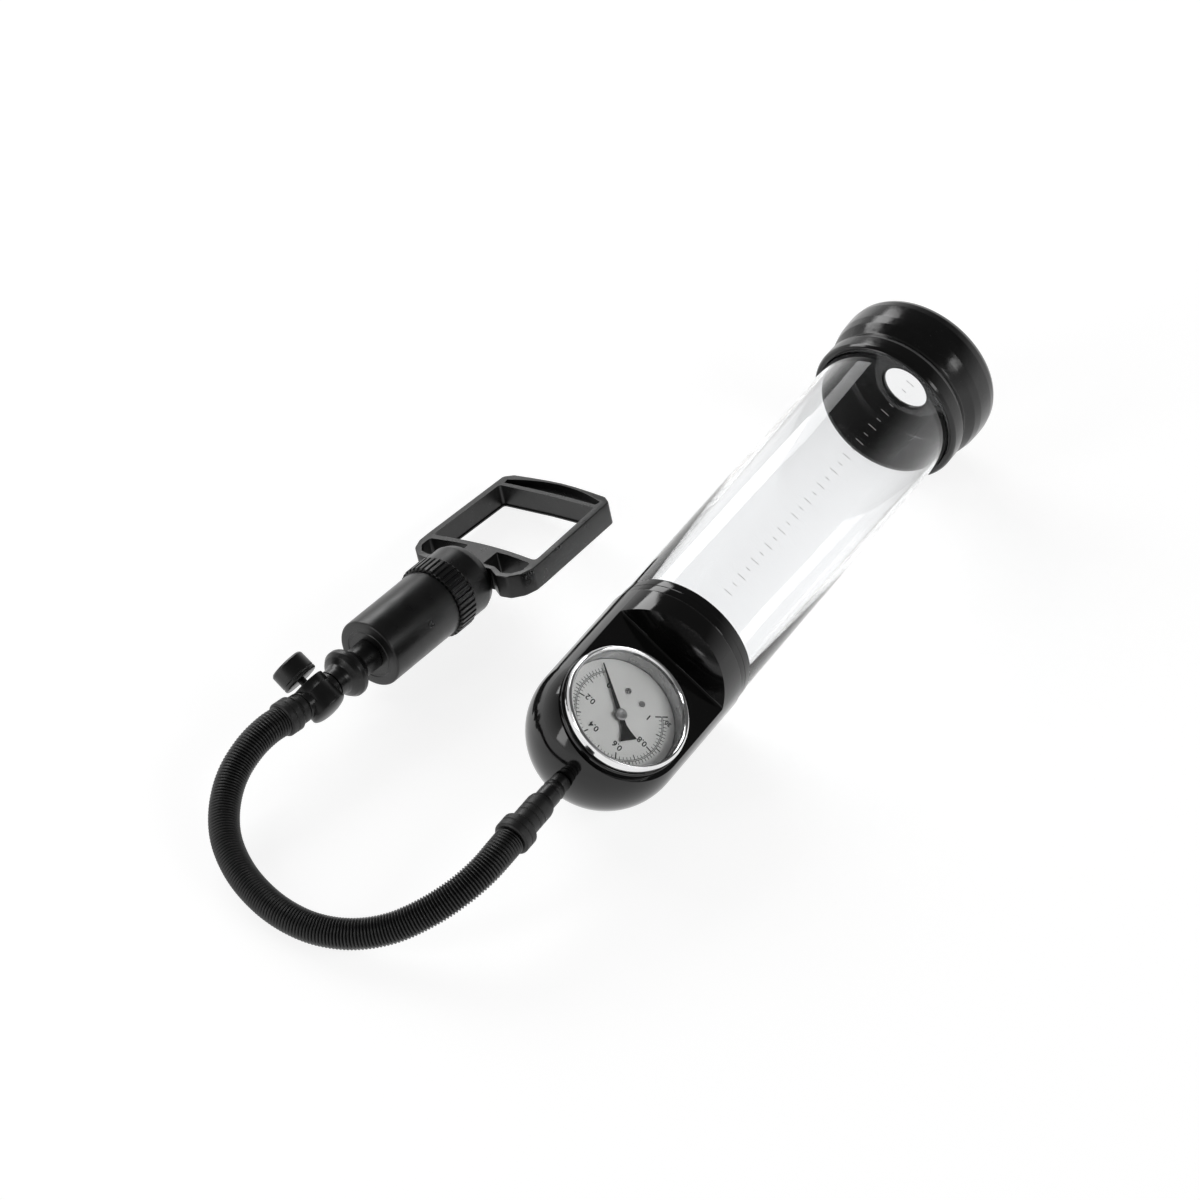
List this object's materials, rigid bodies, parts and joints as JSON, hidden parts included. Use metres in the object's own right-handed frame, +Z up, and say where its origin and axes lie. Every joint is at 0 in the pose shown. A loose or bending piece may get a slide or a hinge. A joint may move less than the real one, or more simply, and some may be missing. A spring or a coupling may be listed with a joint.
{
  "type": "hand vacuum pump with clear cylinder",
  "caption": "Clear cylinder with a dial-gauge head and a soft flared sleeve, joined by a short ribbed hose to a small hand pump with a D-shaped handle and a release valve",
  "frame": {"origin": "point under the middle of the object's bounding box, hose left out, on the plane it lies on", "axes": "+X along the cylinder from its gauge head to its sleeve, +Y across from the cylinder to the hand pump, +Z up"},
  "size_m": [0.3768, 0.1656, 0.0694],
  "materials": {
    "head_black": "glossy moulded ABS, near mirror smooth, with faint dust and hairline marks",
    "satin_black": "satin moulded plastic with a fine spark-eroded texture",
    "seal_rubber": "soft black rubber, slightly shiny",
    "hose_rubber": "ribbed black PVC, semi-gloss on the crests",
    "sleeve_rubber": "glossy stretchy black elastomer with a skin of fine ripples",
    "clear_tube": "clear polycarbonate with faint printed graduations",
    "clear_lens": "clear polycarbonate window",
    "bezel_chrome": "bright plated, rolled edge",
    "steel": "plain turned or drawn steel",
    "brass": "plain machined brass",
    "dial_white": "off-white printed dial plate with black scale marks",
    "needle_black": "stamped sheet, black paint"
  },
  "bodies": {
    "base": {"head_housing": "head_black", "gauge_case": "steel", "gauge_gasket": "seal_rubber", "gauge_bezel": "bezel_chrome", "gauge_lens": "clear_lens", "gauge_dial": "dial_white", "dial_screw_1": "steel", "dial_screw_2": "steel", "movement_plate": "brass", "gauge_socket": "brass", "bourdon_tube": "brass", "gauge_link": "brass", "head_nipple": "satin_black", "head_ring": "satin_black", "tube_seal_ring": "seal_rubber", "cylinder_tube": "clear_tube", "hose_coupler": "satin_black", "hose_cuff_head": "seal_rubber", "pump_barrel": "satin_black", "pump_nozzle": "satin_black", "check_valve_flap": "seal_rubber", "knurled_cap": "satin_black", "rod_guide": "satin_black", "valve_body": "satin_black", "valve_spring": "steel", "hose_cuff_pump": "seal_rubber", "hose": "hose_rubber"},
    "plunger": {"pump_handle": "satin_black", "handle_screw": "steel", "piston_rod": "steel", "piston_head": "satin_black", "piston_cup_seal": "seal_rubber"},
    "button": {"release_button": "satin_black", "valve_stem": "satin_black", "valve_o_ring": "seal_rubber"},
    "sector": {"gauge_sector": "brass"},
    "needle": {"gauge_needle": "needle_black", "needle_hub": "steel", "gauge_pinion": "brass"},
    "sleeve": {"sleeve": "sleeve_rubber"}
  },
  "joints": [
    {"name": "plunger_slide", "type": "slide", "parent": "base", "child": "plunger", "axis": [0.9946, -0.0905, -0.0506], "range_m": [0, 0.045]},
    {"name": "button_press", "type": "slide", "parent": "base", "child": "button", "axis": [-0.1036, -0.8892, -0.4456], "range_m": [0, 0.0022], "stiffness_N_per_m": 400},
    {"name": "sector_hinge", "type": "hinge", "parent": "base", "child": "sector", "pos_m": [-0.10896, -0.05248, 0.03953], "axis": [0.0128, 0.5344, -0.8452], "range_deg": [0, 36], "stiffness_Nm_per_rad": 0.0002},
    {"name": "needle_hinge", "type": "hinge", "parent": "base", "child": "needle", "pos_m": [-0.0956, -0.05409, 0.04227], "axis": [-0.0128, -0.5344, 0.8452], "range_deg": [0, 265]},
    {"name": "sleeve_pull_off", "type": "slide", "parent": "base", "child": "sleeve", "axis": [0.9999, 0, 0.0152], "range_m": [0, 0.035]}
  ],
  "couplings": [
    {"joint": "needle_hinge", "follows": "sector_hinge", "ratio": 7.3}
  ]
}
